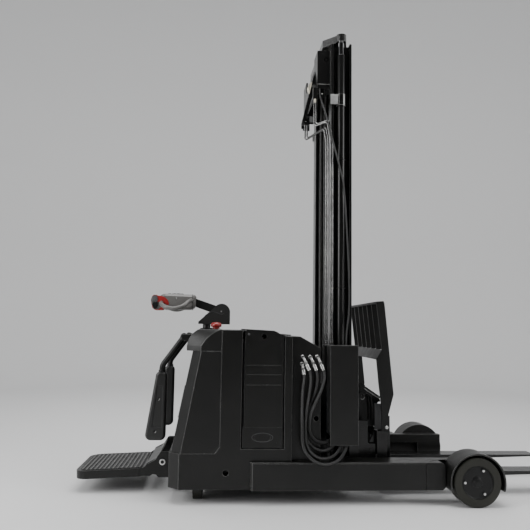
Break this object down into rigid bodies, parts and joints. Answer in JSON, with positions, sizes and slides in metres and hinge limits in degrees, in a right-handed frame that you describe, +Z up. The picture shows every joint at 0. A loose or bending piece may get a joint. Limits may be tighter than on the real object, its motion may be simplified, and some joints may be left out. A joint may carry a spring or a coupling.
{
  "type": "reach truck",
  "caption": "Stand-on reach truck with a moving telescopic mast, straddle legs, tilting forks, tiller steering and a folding platform.",
  "frame": {"origin": "on the floor, under the middle of the truck's length and width", "axes": "+X towards the fork tips, +Z up, +Y to the truck's left"},
  "size_m": [2.8, 1.088, 2.62],
  "materials": {
    "body_black": "satin charcoal paint",
    "cover_black": "satin moulded cover",
    "mast_black": "gloss black paint",
    "chrome": "hard chrome",
    "bright_steel": "zinc plated",
    "caster_steel": "zinc plated",
    "chain_steel": "oiled steel",
    "sheave_tan": "cast polyamide",
    "hose_black": "matt hose rubber",
    "grip_grey": "grained plastic",
    "signal_red": "smooth plastic",
    "pad_grey": "soft moulded pad",
    "mat_grey": "ribbed rubber",
    "tread": "polyurethane tread",
    "hub_dark": "painted casting",
    "cell_grey": "steel battery box"
  },
  "bodies": {
    "chassis": {"base_frame": "body_black", "platform_bracket": "body_black", "rear_cover": "cover_black", "dashboard": "cover_black", "front_frame": "body_black", "leg_left": "body_black", "leg_right": "body_black", "battery": "cell_grey", "reach_cylinder": "mast_black", "stop_button": "signal_red", "hose_fittings": "bright_steel", "hose_1": "hose_black", "hose_2": "hose_black", "hose_3": "hose_black", "hose_4": "hose_black"},
    "lid": {"battery_lid": "cover_black"},
    "panel_left": {"battery_panel_left": "body_black"},
    "panel_right": {"battery_panel_right": "body_black"},
    "drive": {"drive_unit": "body_black"},
    "drive_roll": {"drive_wheel": "tread"},
    "caster_left": {"caster_fork_left": "caster_steel"},
    "caster_right": {"caster_fork_right": "caster_steel"},
    "caster_roll_left": {"caster_wheel_left": "tread"},
    "caster_roll_right": {"caster_wheel_right": "tread"},
    "load_wheel_left": {"load_tyre_left": "tread", "load_hub_left": "hub_dark"},
    "load_wheel_right": {"load_tyre_right": "tread", "load_hub_right": "hub_dark"},
    "platform": {"platform_deck": "body_black", "platform_mat": "mat_grey"},
    "side_guard_left": {"guard_arm_left": "body_black", "guard_pad_left": "pad_grey"},
    "side_guard_right": {"guard_arm_right": "body_black", "guard_pad_right": "pad_grey"},
    "tiller_column": {"tiller_base": "cover_black"},
    "tiller": {"tiller_arm": "grip_grey", "tiller_head": "grip_grey", "tiller_controls": "signal_red"},
    "mast_unit": {"reach_carriage": "mast_black", "outer_rail_left": "mast_black", "outer_rail_right": "mast_black", "outer_head": "mast_black", "lift_cylinder_left": "mast_black", "lift_cylinder_right": "mast_black", "hose_cover": "cover_black", "mast_tubes": "bright_steel", "mast_cable": "hose_black", "fixed_chains": "chain_steel"},
    "inner_mast": {"inner_rail_left": "mast_black", "inner_rail_right": "mast_black", "inner_head": "mast_black", "inner_foot": "mast_black", "lift_rods": "chrome", "mast_sheaves": "sheave_tan", "lifting_chains": "chain_steel"},
    "carriage": {"lift_carriage": "mast_black"},
    "fork_frame": {"fork_carriage": "mast_black", "load_backrest": "mast_black", "fork_left": "mast_black", "fork_right": "mast_black"}
  },
  "joints": [
    {"name": "reach_slide", "type": "slide", "parent": "chassis", "child": "mast_unit", "axis": [1, 0, 0], "range_m": [0, 0.5], "deforming": ["hose_1", "hose_2", "hose_3", "hose_4"]},
    {"name": "mast_lift", "type": "slide", "parent": "mast_unit", "child": "inner_mast", "axis": [0, 0, 1], "range_m": [0, 1.9], "deforming": ["fixed_chains"]},
    {"name": "carriage_lift", "type": "slide", "parent": "inner_mast", "child": "carriage", "axis": [0, 0, 1], "range_m": [0, 1.9], "deforming": ["lifting_chains"]},
    {"name": "fork_tilt", "type": "hinge", "parent": "carriage", "child": "fork_frame", "pos_m": [0.214, 0, 0.25], "axis": [0, 1, 0], "range_deg": [-5, 3]},
    {"name": "load_spin_left", "type": "hinge", "parent": "chassis", "child": "load_wheel_left", "pos_m": [0.72, 0.486, 0.127], "axis": [0, 1, 0], "continuous": true},
    {"name": "load_spin_right", "type": "hinge", "parent": "chassis", "child": "load_wheel_right", "pos_m": [0.72, -0.486, 0.127], "axis": [0, 1, 0], "continuous": true},
    {"name": "tiller_steer", "type": "hinge", "parent": "chassis", "child": "tiller_column", "pos_m": [-0.71, 0, 0.95], "axis": [0, 0, 1], "range_deg": [-90, 90]},
    {"name": "drive_steer", "type": "hinge", "parent": "chassis", "child": "drive", "pos_m": [-0.71, 0, 0.3], "axis": [0, 0, 1], "range_deg": [-90, 90]},
    {"name": "drive_spin", "type": "hinge", "parent": "drive", "child": "drive_roll", "pos_m": [-0.71, 0, 0.115], "axis": [0, 1, 0], "continuous": true},
    {"name": "caster_swivel_left", "type": "hinge", "parent": "chassis", "child": "caster_left", "pos_m": [-0.727, 0.29, 0.15], "axis": [0, 0, 1], "continuous": true},
    {"name": "caster_swivel_right", "type": "hinge", "parent": "chassis", "child": "caster_right", "pos_m": [-0.727, -0.29, 0.15], "axis": [0, 0, 1], "continuous": true},
    {"name": "caster_spin_left", "type": "hinge", "parent": "caster_left", "child": "caster_roll_left", "pos_m": [-0.727, 0.324, 0.05], "axis": [1, 0, 0], "continuous": true},
    {"name": "caster_spin_right", "type": "hinge", "parent": "caster_right", "child": "caster_roll_right", "pos_m": [-0.727, -0.324, 0.05], "axis": [1, 0, 0], "continuous": true},
    {"name": "tiller_tilt", "type": "hinge", "parent": "tiller_column", "child": "tiller", "pos_m": [-0.624, 0, 1], "axis": [0, 1, 0], "range_deg": [-5, 65]},
    {"name": "platform_fold", "type": "hinge", "parent": "chassis", "child": "platform", "pos_m": [-0.925, 0, 0.171], "axis": [0, 1, 0], "range_deg": [0, 90]},
    {"name": "guard_swing_left", "type": "hinge", "parent": "chassis", "child": "side_guard_left", "pos_m": [-0.826, 0.258, 0.852], "axis": [0, 1, 0], "range_deg": [0, 75]},
    {"name": "guard_swing_right", "type": "hinge", "parent": "chassis", "child": "side_guard_right", "pos_m": [-0.826, -0.258, 0.852], "axis": [0, 1, 0], "range_deg": [0, 75]},
    {"name": "lid_hinge", "type": "hinge", "parent": "chassis", "child": "lid", "pos_m": [-0.506, 0, 0.893], "axis": [0, -1, 0], "range_deg": [0, 80]},
    {"name": "panel_lift_off_left", "type": "slide", "parent": "chassis", "child": "panel_left", "axis": [0, 1, 0], "range_m": [0, 0.2]},
    {"name": "panel_lift_off_right", "type": "slide", "parent": "chassis", "child": "panel_right", "axis": [0, -1, 0], "range_m": [0, 0.2]}
  ],
  "couplings": [
    {"joint": "carriage_lift", "follows": "mast_lift", "ratio": 1},
    {"joint": "drive_steer", "follows": "tiller_steer", "ratio": 1}
  ]
}
